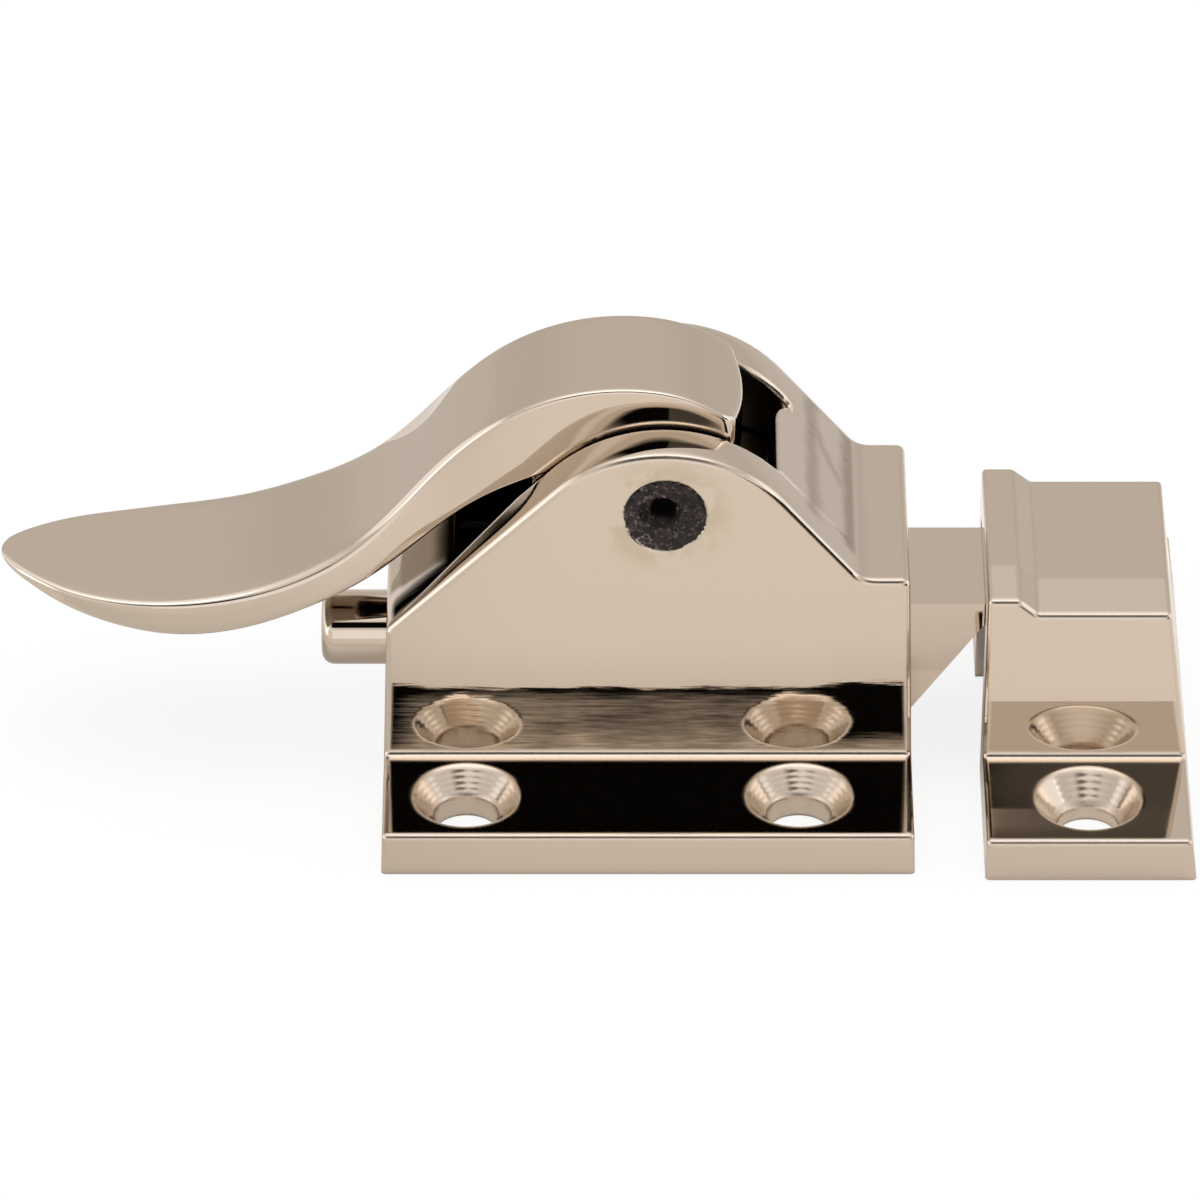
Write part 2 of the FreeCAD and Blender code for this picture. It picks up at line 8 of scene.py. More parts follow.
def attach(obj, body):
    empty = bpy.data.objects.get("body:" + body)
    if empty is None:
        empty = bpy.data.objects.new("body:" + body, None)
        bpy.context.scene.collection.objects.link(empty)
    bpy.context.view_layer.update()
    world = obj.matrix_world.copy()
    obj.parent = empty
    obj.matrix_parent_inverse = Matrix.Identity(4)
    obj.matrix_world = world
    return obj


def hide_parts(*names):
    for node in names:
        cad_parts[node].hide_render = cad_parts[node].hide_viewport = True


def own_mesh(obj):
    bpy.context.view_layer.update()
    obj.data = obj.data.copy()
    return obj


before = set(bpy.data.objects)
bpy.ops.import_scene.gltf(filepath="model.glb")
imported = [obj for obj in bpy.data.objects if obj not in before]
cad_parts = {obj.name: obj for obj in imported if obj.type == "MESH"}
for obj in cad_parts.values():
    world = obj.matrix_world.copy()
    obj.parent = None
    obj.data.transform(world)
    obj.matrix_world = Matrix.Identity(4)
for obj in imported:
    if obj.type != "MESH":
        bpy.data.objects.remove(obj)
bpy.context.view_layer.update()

MM = 0.001

# Camera: the photograph's angle and a long lens, fitted to the case's and the strike's corners
CAMERA_ELEVATION = math.radians(34.0)
CAMERA_TARGET = Vector((-3.03, 0.0, 14.0)) * MM
CAMERA_DISTANCE = 1015.0 * MM
CAMERA_LENS = 324.0

# Object sizes that the looks need, in millimetres, as in the CAD
BODY_HALF = 11.65
SLOT_HALF = 6.95
SLOT_END = 15.1
FLANGE_TOP = 4.35
CASE_HOLES = (0.0, 15.5, 18.2)
STRIKE_HOLES = (42.4, 0.0, 18.7)
COUNTERSINK_RADIUS = 5.05
COUNTERSINK_FLOOR = 3.3
PIN_AXIS = (3.0, 31.2)
PIN_RADIUS = 3.75
# Without a seed, the noise vectors of the socket's edge would differ from run to run
SOCKET_SEED = 12
SPRING_SEAT = -16.55
BOLT_SHOULDER = -2.95
TAIL_HEIGHT = 11.0
WIRE_RADIUS = 0.4
COIL_RADIUS = 4.5
COIL_TURNS = 6.0
LEVER_TIP = -59.1
LEVER_NOSE = 10.2
LEVER_TOP = [(LEVER_TIP, 20.05), (-54, 19.45), (-48, 19.15), (-42, 19.5), (-36, 20.6), (-30, 22.9),
             (-24.5, 26.37), (-19, 32.12), (-14, 37.0), (-8, 40.4), (-1, 41.65), (5, 40.68),
             (LEVER_NOSE, 37.78)]
LEVER_UNDER = [(LEVER_TIP, 19.45), (-54, 17.8), (-48.5, 16.5), (-42, 15.9), (-36, 16.8), (-30, 19.0),
               (-24.5, 21.58), (-19.5, 25.25), (-14.5, 29.3), (-9.8, 31.75), (-6.5, 33.0), (-3, 34.4),
               (0.5, 35.0), (4, 35.0), (LEVER_NOSE, 35.0)]
LEVER_SIDE = [(-58.35, 2.15), (-56.5, 4.03), (-53, 6.27), (-48.3, 7.88), (-42.8, 8.74), (-36.5, 8.95),
              (-30, 8.73), (-24.5, 7.7), (-19, 6.5), (-14, 6.5), (-6, 6.575), (7.1, 6.6)]
# Radius of the lever's polished upper rim along its length, and of its lower rim
LEVER_RIM = [(LEVER_TIP, 0.45), (-52, 0.5), (-44, 0.6), (-36, 0.9), (-28, 1.25), (-20, 1.1), (-12, 0.55),
             (-4, 0.38), (LEVER_NOSE, 0.35)]
LEVER_FOOT = 0.4
NOSE_CORNER = 1.2
NOSE_BOW = 0.7
# Half width of the case's left trough where it meets the slot, at its x, and its widening to the left
TROUGH_HALF = 6.9
TROUGH_START = -9.55
TROUGH_WIDENING = 0.31

# Colours
NICKEL = (0.66, 0.575, 0.485, 1.0)
# Painted shade: the lever's underside, and the inside of the case and bolt
SHADED_NICKEL = (0.34, 0.30, 0.255, 1.0)
INSIDE_SHADE = (0.055, 0.048, 0.04, 1.0)
OLIVE_FILM = (0.49, 0.43, 0.31, 1.0)
BLACK_OXIDE = (0.008, 0.007, 0.007, 1.0)
BROWN_OXIDE = (0.045, 0.030, 0.027, 1.0)
DUST = (0.36, 0.27, 0.255, 1.0)
# Painted shade deep in the pin's socket
SOCKET_SHADE = (0.004, 0.004, 0.004, 1.0)
WIRE_GREY = (0.12, 0.115, 0.11, 1.0)
DIM_LIGHT = (1.0, 0.945, 0.895, 1.0)
FULL_LIGHT = (1.0, 0.99, 1.0, 1.0)

# Polish: unevenness as a lean of the surface, roughness and its spread, rim radius in millimetres
POLISH_WAVE = 0.008
POLISH_ROUGHNESS = 0.022
POLISH_SPREAD = 0.025
CAST_RIM = 0.6
# Remapped steepness across that rim: from, to, and the change over that span
RIM_SPANS = ((0.50, 0.62, 0.10), (0.62, 0.93, -0.17), (0.93, 1.0, 0.07))

# Marks of the polishing wheel, as leans of the surface, and where they lie in millimetres
WALL_LEAN = 0.057
STREAK_LEAN = 0.042
HOLLOW_LEAN = 0.026
HOLLOW_BAND = (10.4, 10.6, 12.2, 16.5)
CROWN_RIDGE = 9.7
CROWN_OUTER_LEAN = 0.085
CROWN_INNER_LEAN = 0.035
ROLL_LEAN = 0.16
ROLL_LIMIT = 0.20
BLEND_SHARE = 0.9
SHOULDER_LEAN = 0.17
SHOULDER_WIDTH = 3.0
NECK_START = -19.0
NECK_HALF = 6.5
NECK_WIDENING = 0.22

# Turned countersinks: rings in radians per millimetre, their unevenness in radians, and their lean
RING_RATE = 16.0
RING_DRIFT = 2.0
RING_CHATTER = 2.4
RING_LEAN = 0.032
CONE_GRAIN = 0.75

# Roughness added to the polish
CONE_ROUGHNESS = 0.10
BORE_ROUGHNESS = 0.15
INSIDE_ROUGHNESS = 0.25
UNDERSIDE_ROUGHNESS = 0.12
FLANGE_ROUGHNESS = 0.045

# Case's outer surface over the slot: slopes as rise and height at x = 0, and the crown's height
LEFT_SLOPE = (0.983, 40.2)
RIGHT_SLOPE = (-1.19, 48.2)
CROWN_HEIGHT = 38.2

# Olive film, painted shade in the creases and inside, and dust: how far each covers the metal
FILM_SHARE = 0.5
FILM_REACH = (7.0, 4.4)
CREASE_SHADE_SHARE = 0.22
FOOT_SHADE_SHARE = 0.30
SLANT_SHADE_SHARE = 0.16
GRAIN_SHARE = 0.8
DUST_SHARE = 0.7
SHADE_EDGE_LOSS = 0.8

# Tent: levels added to the walls' own light, and how deep its dark parts are
DIP_DEPTH = 0.05
STRIP_GLOW = 1.1
SIDE_LEVEL = 1.25
WING_GLOW = 0.9
LOW_FRONT_LEVEL = 0.92
TABLE_EDGE_GLOW = 0.25
CORNER_DEPTH = 0.98
OPENING_DEPTH = 0.995
OPENING_DEPTH_RIGHT = 0.85
# Table: its size, its white, the camera's share of plain white, and its tones in reflections, with a painted
# shadow before the front flanges
TABLE_HALF = 2.0
PAPER_WHITE = 0.9
CAMERA_WHITE = 0.85
PAPER_TONE = 0.87
PAPER_SHADOW_NEAR = 0.74

# Mesh steps
LEVER_POINTS = 420
LEVER_ACROSS = 11
RIM_STEPS = 9
FOOT_STEPS = 7
PIN_RINGS = 74
PIN_AROUND = 168
PIN_HEAD = 2.6
COIL_STEPS = 288
WIRE_AROUND = 12


# Node helpers

def new_material(name):
    mat = bpy.data.materials.new(name)
    mat.use_nodes = True
    return mat, mat.node_tree, mat.node_tree.nodes["Principled BSDF"]


def link(tree, source, target):
    tree.links.new(source, target)


def put(tree, socket, value):
    """Set a socket from a number, a colour or another node's output."""
    if isinstance(value, bpy.types.NodeSocket):
        tree.links.new(value, socket)
    else:
        socket.default_value = value


def calc(tree, operation, a, b=0.0):
    node = tree.nodes.new("ShaderNodeMath")
    node.operation = operation
    put(tree, node.inputs[0], a)
    put(tree, node.inputs[1], b)
    return node.outputs[0]


def product(tree, first, *others):
    """Product of two or more values."""
    for other in others:
        first = calc(tree, "MULTIPLY", first, other)
    return first


def vmath(tree, operation, a, b=None, scale=None):
    node = tree.nodes.new("ShaderNodeVectorMath")
    node.operation = operation
    put(tree, node.inputs[0], a)
    if b is not None:
        put(tree, node.inputs[1], b)
    if scale is not None:
        put(tree, node.inputs["Scale"], scale)
    return node.outputs["Value"] if operation == "LENGTH" else node.outputs["Vector"]


def map_range(tree, value, low, high, out_low=0.0, out_high=1.0, curve="SMOOTHSTEP"):
    node = tree.nodes.new("ShaderNodeMapRange")
    node.interpolation_type = curve
    put(tree, node.inputs["Value"], value)
    put(tree, node.inputs["From Min"], low)
    put(tree, node.inputs["From Max"], high)
    put(tree, node.inputs["To Min"], out_low)
    put(tree, node.inputs["To Max"], out_high)
    return node.outputs["Result"]


def between(tree, value, start, full, fade, end):
    """One from full to fade, with soft ends at start and end."""
    return product(tree, map_range(tree, value, start, full), map_range(tree, value, end, fade))


def parts(tree, vector):
    node = tree.nodes.new("ShaderNodeSeparateXYZ")
    link(tree, vector, node.inputs[0])
    return node.outputs[0], node.outputs[1], node.outputs[2]


def combine(tree, x=0.0, y=0.0, z=0.0):
    node = tree.nodes.new("ShaderNodeCombineXYZ")
    put(tree, node.inputs[0], x)
    put(tree, node.inputs[1], y)
    put(tree, node.inputs[2], z)
    return node.outputs[0]


def place(tree):
    """Position on the piece at rest, in millimetres."""
    coord = tree.nodes.new("ShaderNodeTexCoord")
    return vmath(tree, "SCALE", coord.outputs["Object"], scale=1000.0)


def face_normal(tree):
    """Parts of the mesh's own normal, without rims or unevenness."""
    return parts(tree, tree.nodes.new("ShaderNodeNewGeometry").outputs["True Normal"])


def noise(tree, spot, stretch, scale, detail=2.0, roughness=0.5):
    """Noise over the piece, with a stretch along each axis; its value is about 0.5."""
    node = tree.nodes.new("ShaderNodeTexNoise")
    link(tree, vmath(tree, "MULTIPLY", spot, stretch), node.inputs["Vector"])
    put(tree, node.inputs["Scale"], scale)
    put(tree, node.inputs["Detail"], detail)
    put(tree, node.inputs["Roughness"], roughness)
    return node.outputs[0]


def even_noise(tree, spot, scale, detail=2.0, roughness=0.5):
    return noise(tree, spot, (1, 1, 1), scale, detail, roughness)


def centred(tree, value, amount):
    return product(tree, calc(tree, "SUBTRACT", value, 0.5), amount)


def mix_colours(tree, share, first, second):
    node = tree.nodes.new("ShaderNodeMix")
    node.data_type = "RGBA"
    put(tree, node.inputs[0], share)
    put(tree, node.inputs[6], first)
    put(tree, node.inputs[7], second)
    return node.outputs[2]


# Materials

def polished_nickel(name, holes=None, cone_lift=0.0, rim=0.0, worn=False, hollow=False, shaded_inside=False, shoulder_and_under_shade=False):
    """Warm polished nickel, slightly uneven.

    holes: places of turned countersinks, whose shading leans up by cone_lift. rim: radius of its polished rims.
    worn: the case's wheel marks and stain. hollow: the strike's walls. shaded_inside: painted shade inside the
    case.
    shoulder_and_under_shade: the lever's worn shoulder, and painted shade with more roughness on its underside.
    """
    mat, tree, shader = new_material(name)
    spot = place(tree)
    x, y, z = parts(tree, spot)
    shader.inputs["Metallic"].default_value = 1.0
    shader.inputs["Base Color"].default_value = NICKEL
    if rim:
        soft = tree.nodes.new("ShaderNodeBevel")
        soft.samples = 8
        soft.inputs["Radius"].default_value = rim * MM
        normal = flat_rim(tree, soft.outputs[0])
    else:
        normal = tree.nodes.new("ShaderNodeNewGeometry").outputs["Normal"]

    # Slight unevenness of a hand-polished face
    tilt_x = centred(tree, noise(tree, spot, (1, 1, 1), 0.11), POLISH_WAVE)
    tilt_y = centred(tree, noise(tree, spot, (1, 1.1, 0.9), 0.13), POLISH_WAVE)
    tilt_z = centred(tree, noise(tree, spot, (0.9, 1, 1.1), 0.12), POLISH_WAVE)
    if worn:
        tilt_z = calc(tree, "ADD", tilt_z, worn_wall(tree, spot))
        tilt_y = calc(tree, "ADD", tilt_y, rounded_cheeks(tree, x, y, z))
    if hollow:
        tilt_z = calc(tree, "ADD", tilt_z, hollow_wall(tree, z))
    if shoulder_and_under_shade:
        tilt_y = calc(tree, "ADD", tilt_y, worn_shoulder(tree, x, y))
    bent = vmath(tree, "ADD", normal, combine(tree, tilt_x, tilt_y, tilt_z))
    bent = vmath(tree, "NORMALIZE", bent)

    rough = calc(tree, "ADD", POLISH_ROUGHNESS, centred(tree, even_noise(tree, spot, 0.6, 3.0), POLISH_SPREAD))
    if hollow:
        rough = calc(tree, "ADD", rough, dull_flange(tree, z))
    if holes:
        bent, rough = turned_holes(tree, shader, holes, spot, bent, rough, cone_lift)
    # Painted shade inside the case and bolt, with the case's olive stain over it
    if shaded_inside:
        rough, colour, edge = painted_inside_shade(tree, spot, rough)
        link(tree, edge, shader.inputs["Specular Tint"])
        if worn:
            colour = stained(tree, spot, colour)
        link(tree, colour, shader.inputs["Base Color"])
    # Painted shade on the lever's underside
    if shoulder_and_under_shade:
        rough, colour = shaded_underside(tree, rough)
        link(tree, colour, shader.inputs["Base Color"])
    link(tree, bent, shader.inputs["Normal"])
    link(tree, rough, shader.inputs["Roughness"])
    return mat


def flat_rim(tree, normal):
    """Narrow flat along the rounded rims of the front and rear walls, where the polishing wheel turned over."""
    x, y, z = parts(tree, normal)
    steep = calc(tree, "ABSOLUTE", y)
    bent = steep
    for low, high, gain in RIM_SPANS:
        bent = calc(tree, "ADD", bent, map_range(tree, steep, low, high, 0.0, gain, curve="LINEAR"))
    left_over = calc(tree, "SUBTRACT", 1.0, product(tree, bent, bent))
    rest = calc(tree, "SQRT", calc(tree, "MAXIMUM", left_over, 0.0))
    flat = vmath(tree, "SCALE", vmath(tree, "NORMALIZE", combine(tree, x, 0.0, z)), scale=rest)
    across = combine(tree, 0.0, product(tree, calc(tree, "SIGN", y), bent), 0.0)
    return vmath(tree, "NORMALIZE", vmath(tree, "ADD", flat, across))


def shaded_underside(tree, rough):
    """Painted shade: the base colour darkens where the face points down, and the roughness rises there."""
    up = face_normal(tree)[2]
    share = map_range(tree, up, -0.35, -0.6)
    rough = calc(tree, "ADD", rough, product(tree, share, UNDERSIDE_ROUGHNESS))
    return rough, mix_colours(tree, share, NICKEL, SHADED_NICKEL)


def stained(tree, spot, colour):
    """Faint olive film that crept out of the pin's bore over the front wall."""
    x, y, z = parts(tree, spot)
    dx = calc(tree, "SUBTRACT", x, PIN_AXIS[0])
    dz = calc(tree, "SUBTRACT", z, PIN_AXIS[1])
    reach = vmath(tree, "LENGTH", combine(tree, dx, 0.0, dz))
    cloud = map_range(tree, even_noise(tree, spot, 0.32, 4.0, 0.6), 0.42, 0.58)
    near_pin = map_range(tree, reach, *FILM_REACH)
    on_front = map_range(tree, y, 2.0 - BODY_HALF, 1.0 - BODY_HALF)
    return mix_colours(tree, product(tree, near_pin, cloud, on_front, FILM_SHARE), colour, OLIVE_FILM)


def hollow_wall(tree, z):
    """Lean of the strike's front and rear walls above their root, left by the wheel's round edge."""
    facing = map_range(tree, calc(tree, "ABSOLUTE", face_normal(tree)[1]), 0.85, 0.95)
    return product(tree, between(tree, z, *HOLLOW_BAND), facing, HOLLOW_LEAN)


def dull_flange(tree, z):
    """Extra roughness of the strike's flange tops."""
    top = between(tree, z, FLANGE_TOP - 0.6, FLANGE_TOP - 0.1, FLANGE_TOP - 0.02, FLANGE_TOP + 0.05)
    return product(tree, top, FLANGE_ROUGHNESS)


def worn_shoulder(tree, x, y):
    """Lean of the shoulder that the wheel has left along the far edge of the lever's neck."""
    before = calc(tree, "MAXIMUM", calc(tree, "SUBTRACT", NECK_START, x), 0.0)
    edge = calc(tree, "ADD", NECK_HALF, product(tree, before, NECK_WIDENING))
    width = product(tree, map_range(tree, x, -25.5, -20.0),
                    map_range(tree, x, -14.5, -19.5, 0.0, SHOULDER_WIDTH))
    start = calc(tree, "SUBTRACT", edge, width)
    lean = map_range(tree, y, calc(tree, "SUBTRACT", start, 0.15), calc(tree, "ADD", start, 0.25))
    on_top = map_range(tree, face_normal(tree)[2], 0.45, 0.6)
    return product(tree, lean, map_range(tree, width, 0.1, 0.5), on_top, SHOULDER_LEAN)


def trough_edge(tree, x):
    """Half width of the left trough at a place along the case."""
    past = calc(tree, "SUBTRACT", TROUGH_START, x)
    return calc(tree, "ADD", TROUGH_HALF, product(tree, past, TROUGH_WIDENING))


def rounded_cheeks(tree, x, y, z):
    """Lean of the cheeks' tops, which polishing has crowned, and of the troughs' blended sides."""
    normal = face_normal(tree)
    on_top = product(tree, map_range(tree, normal[2], 0.5, 0.62), map_range(tree, z, 14.0, 16.0))
    side = calc(tree, "ABSOLUTE", y)

    # Crown, which falls away from its ridge more outwards than inwards
    past = calc(tree, "SUBTRACT", side, CROWN_RIDGE)
    outer = product(tree, calc(tree, "MAXIMUM", past, 0.0), CROWN_OUTER_LEAN)
    inner = product(tree, calc(tree, "MINIMUM", past, 0.0), CROWN_INNER_LEAN)
    lean = product(tree, calc(tree, "ADD", outer, inner), map_range(tree, side, SLOT_HALF - 0.3, SLOT_HALF),
                   map_range(tree, x, 18.0, 12.0))

    # Left slope: the cheeks roll over into the trough
    roll = calc(tree, "SUBTRACT", side, calc(tree, "ADD", trough_edge(tree, x), 0.3))
    roll = calc(tree, "MINIMUM", product(tree, roll, ROLL_LEAN), 0.0)
    roll = calc(tree, "MAXIMUM", roll, -ROLL_LIMIT)
    roll = product(tree, roll, map_range(tree, side, SLOT_HALF - 1.5, SLOT_HALF + 0.2),
                   map_range(tree, x, -9.0, -12.0))
    lean = product(tree, calc(tree, "ADD", lean, roll), on_top, calc(tree, "SIGN", y))

    # Right slope: the trough's sides blend into the cheeks
    blend = product(tree, between(tree, x, 14.6, 15.4, 20.6, 21.0), on_top, map_range(tree, side, 7.6, 7.2))
    return calc(tree, "SUBTRACT", lean, product(tree, blend, BLEND_SHARE, normal[1]))


def worn_wall(tree, spot):
    """Lean of the front and rear walls towards their root, where the wheel has worn them in level strokes."""
    x, y, z = parts(tree, spot)
    facing = map_range(tree, calc(tree, "ABSOLUTE", y), BODY_HALF - 0.25, BODY_HALF - 0.05)

    # Lean, which fades upwards and towards the ends of the wall
    below = product(tree, map_range(tree, z, 4.5, 8.5, 1.0, 0.77), map_range(tree, z, 10.2, 12.0, 1.0, 0.60))
    left_end = map_range(tree, x, -24.0, -19.0, 0.5, 1.0)
    right_end = calc(tree, "MAXIMUM", map_range(tree, x, 22.0, 15.0, 0.40, 1.0),
                     map_range(tree, z, 7.6, 5.4, 0.40, 1.0))
    middle = product(tree, left_end, right_end)
    cloud = product(tree, noise(tree, spot, (0.6, 0.2, 1.2), 0.25, 3.0, 0.6), 0.5)
    lean = product(tree, below, middle, calc(tree, "ADD", 0.75, cloud), WALL_LEAN)

    # Streaks, which are stronger at the ends
    ends = calc(tree, "SUBTRACT", 2.2, product(tree, middle, 1.2))
    streak = centred(tree, noise(tree, spot, (0.055, 0.2, 1.0), 3.4, 4.0, 0.7), STREAK_LEAN)
    streak = product(tree, streak, ends, map_range(tree, z, 15.0, 12.0))
    return product(tree, calc(tree, "ADD", lean, streak), facing)


def turned_holes(tree, shader, holes, spot, bent, rough, lift):
    """Fine turning rings and a cross-grained sheen in the countersinks, and dull bores below them."""
    x, y, z = parts(tree, spot)
    centre_x, spread_x, spread_y = holes
    dx = calc(tree, "SUBTRACT", x, centre_x)
    if spread_x:
        dx = calc(tree, "SUBTRACT", dx, product(tree, calc(tree, "SIGN", dx), spread_x))
    dy = calc(tree, "SUBTRACT", y, product(tree, calc(tree, "SIGN", y), spread_y))
    radial = combine(tree, dx, dy, 0.0)
    reach = vmath(tree, "LENGTH", radial)
    outward = vmath(tree, "NORMALIZE", radial)
    cone = product(tree, calc(tree, "LESS_THAN", reach, COUNTERSINK_RADIUS),
                   calc(tree, "LESS_THAN", z, FLANGE_TOP - 0.01))

    # Rings, with a slow drift and fine chatter
    drift = centred(tree, even_noise(tree, spot, 0.5, 3.0, 0.6), RING_DRIFT)
    wave = calc(tree, "SINE", calc(tree, "ADD", product(tree, reach, RING_RATE), drift))
    chatter = centred(tree, even_noise(tree, spot, 1.6, 4.0, 0.7), RING_CHATTER)
    groove = product(tree, calc(tree, "ADD", wave, chatter), RING_LEAN, cone)
    bent = vmath(tree, "ADD", bent, vmath(tree, "SCALE", outward, scale=groove))
    bent = vmath(tree, "ADD", bent, combine(tree, z=product(tree, cone, lift)))
    bent = vmath(tree, "NORMALIZE", bent)

    bore = product(tree, calc(tree, "LESS_THAN", reach, COUNTERSINK_FLOOR - 0.02), cone)
    rough = calc(tree, "ADD", rough, product(tree, cone, CONE_ROUGHNESS))
    rough = calc(tree, "ADD", rough, product(tree, bore, BORE_ROUGHNESS))
    link(tree, vmath(tree, "CROSS_PRODUCT", outward, (0, 0, 1)), shader.inputs["Tangent"])
    put(tree, shader.inputs["Anisotropic"], product(tree, cone, CONE_GRAIN))
    return bent, rough


def painted_inside_shade(tree, spot, rough):
    """Painted shade: darker colour, more roughness and less edge tint in the slot, the passages below it and
    the troughs' creases.
    """
    x, y, z = parts(tree, spot)
    inner = map_range(tree, calc(tree, "ABSOLUTE", y), SLOT_HALF + 0.12, SLOT_HALF + 0.02)
    along = product(tree, calc(tree, "GREATER_THAN", x, SPRING_SEAT - 0.1),
                    calc(tree, "LESS_THAN", x, SLOT_END))
    surface = CROWN_HEIGHT
    for rise, height in (LEFT_SLOPE, RIGHT_SLOPE):
        surface = calc(tree, "MINIMUM", surface, calc(tree, "ADD", product(tree, x, rise), height))
    below = map_range(tree, calc(tree, "SUBTRACT", surface, z), 0.0, 0.5)
    dark = product(tree, inner, along, below)
    # Painted shade in the right slope's creases, and a painted dark reflection along the left trough
    dark = calc(tree, "MAXIMUM", dark, crease_shade(tree, spot))
    dark = calc(tree, "MAXIMUM", dark, painted_roll_reflection(tree, spot))
    edge = calc(tree, "SUBTRACT", 1.0, product(tree, dark, SHADE_EDGE_LOSS))
    rough = calc(tree, "ADD", rough, product(tree, dark, INSIDE_ROUGHNESS))
    return rough, mix_colours(tree, dark, NICKEL, INSIDE_SHADE), edge


def painted_roll_reflection(tree, spot):
    """Painted dark reflection of the slot: streaks along the left trough's sides and at its end by the slot."""
    x, y, z = parts(tree, spot)
    inside = calc(tree, "SUBTRACT", trough_edge(tree, x), calc(tree, "ABSOLUTE", y))
    streak = noise(tree, spot, (0.25, 2.6, 0.25), 0.8, 3.0, 0.6)
    roll = product(tree, between(tree, inside, -0.2, 0.9, 1.5, 4.2),
                   map_range(tree, streak, 0.30, 0.50, 0.78, 1.0), map_range(tree, x, -9.2, -10.2))
    end = product(tree, between(tree, x, SPRING_SEAT - 2.6, SPRING_SEAT - 0.3, -15.5, -15.0),
                  map_range(tree, inside, 0.3, 1.2))
    return product(tree, calc(tree, "MAXIMUM", roll, end), map_range(tree, z, 18.6, 19.2))


def crease_shade(tree, spot):
    """Painted shade: faint dark lines in the creases of the right slope."""
    x, y, z = parts(tree, spot)
    at = calc(tree, "ADD", x, centred(tree, even_noise(tree, spot, 0.35), 0.9))
    crease = product(tree, between(tree, at, 15.8, 16.6, 16.8, 17.9), CREASE_SHADE_SHARE)
    foot = product(tree, map_range(tree, at, 19.2, 20.2), map_range(tree, x, 20.9, 20.4), FOOT_SHADE_SHARE)
    # One slanting line of painted shade between the two
    slant = product(tree, calc(tree, "SUBTRACT", 20.2, at), 2.2)
    slant = between(tree, calc(tree, "SUBTRACT", y, slant), -1.6, 0.2, 0.6, 2.4)
    slant = product(tree, slant, between(tree, x, 16.3, 17.0, 20.2, 20.6), SLANT_SHADE_SHARE)
    lines = calc(tree, "MAXIMUM", calc(tree, "MAXIMUM", crease, foot), slant)
    return product(tree, lines, between(tree, y, -9.0, -7.6, 10.6, 11.2),
                   between(tree, z, 23.5, 24.2, 32.0, 34.0))


def black_steel():
    """Rough black oxide with a few rust and dust specks, and painted shade deeper inside the socket."""
    mat, tree, shader = new_material("black_steel")
    spot = place(tree)
    y = parts(tree, spot)[1]
    scale = map_range(tree, even_noise(tree, spot, 1.5, 6.0, 0.8), 0.40, 0.62)
    oxide = mix_colours(tree, scale, BLACK_OXIDE, BROWN_OXIDE)

    # Dust as fine grain, and as fibres in a few patches
    grain = map_range(tree, even_noise(tree, spot, 2.6, 5.0, 0.7), 0.56, 0.64)
    ridge = calc(tree, "ABSOLUTE", calc(tree, "SUBTRACT", even_noise(tree, spot, 0.75), 0.5))
    patch = map_range(tree, noise(tree, spot, (1.1, 1, 0.9), 0.42), 0.50, 0.56)
    fibres = product(tree, map_range(tree, ridge, 0.014, 0.005), patch)
    specks = calc(tree, "MAXIMUM", product(tree, grain, GRAIN_SHARE), fibres)
    dusty = mix_colours(tree, product(tree, specks, DUST_SHARE), oxide, DUST)

    # Painted shade: the socket turns pure black with depth
    deep = map_range(tree, y, 0.7 - BODY_HALF, 1.5 - BODY_HALF)
    link(tree, mix_colours(tree, deep, dusty, SOCKET_SHADE), shader.inputs["Base Color"])
    shader.inputs["Metallic"].default_value = 0.2
    shader.inputs["Roughness"].default_value = 0.5
    bump = tree.nodes.new("ShaderNodeBump")
    bump.inputs["Strength"].default_value = 1.0
    bump.inputs["Distance"].default_value = 0.0010
    link(tree, even_noise(tree, spot, 0.9, 6.0, 0.7), bump.inputs["Height"])
    link(tree, bump.outputs[0], shader.inputs["Normal"])
    return mat


def drawn_wire():
    """Dark drawn steel, slightly uneven."""
    mat, tree, shader = new_material("drawn_wire")
    shader.inputs["Metallic"].default_value = 1.0
    shader.inputs["Base Color"].default_value = WIRE_GREY
    rough = calc(tree, "ADD", 0.28, centred(tree, even_noise(tree, place(tree), 2.0, 3.0), 0.15))
    link(tree, rough, shader.inputs["Roughness"])
    return mat


# Lever: a smooth skin over the same curves as the CAD, with its softly rounded upper rim

def natural_spline(points, count):
    """Smooth curve through points, by chord length, as count samples."""
    pts = np.array(points, float)
    step = np.linalg.norm(np.diff(pts, axis=0), axis=1)
    t = np.concatenate(([0.0], np.cumsum(step)))
    n = len(pts)
    left = np.zeros((n, n))
    right = np.zeros((n, 2))
    left[0, 0] = left[-1, -1] = 1.0
    for i in range(1, n - 1):
        a, b = t[i] - t[i - 1], t[i + 1] - t[i]
        left[i, i - 1], left[i, i], left[i, i + 1] = a, 2 * (a + b), b
        right[i] = 6 * ((pts[i + 1] - pts[i]) / b - (pts[i] - pts[i - 1]) / a)
    second = np.linalg.solve(left, right)
    at = np.linspace(0, t[-1], count)
    k = np.clip(np.searchsorted(t, at, side="right") - 1, 0, n - 2)
    span = (t[k + 1] - t[k])[:, None]
    u = (at - t[k])[:, None] / span
    flat = pts[k] * (1 - u) + pts[k + 1] * u
    bend = span ** 2 / 6 * (((1 - u) ** 3 - (1 - u)) * second[k] + (u ** 3 - u) * second[k + 1])
    return flat + bend


def height_along(points):
    """Function from x to height along a smooth curve."""
    curve = natural_spline(points, 4000)
    order = np.argsort(curve[:, 0])
    xs, zs = curve[order, 0], curve[order, 1]
    return lambda x: np.interp(x, xs, zs)


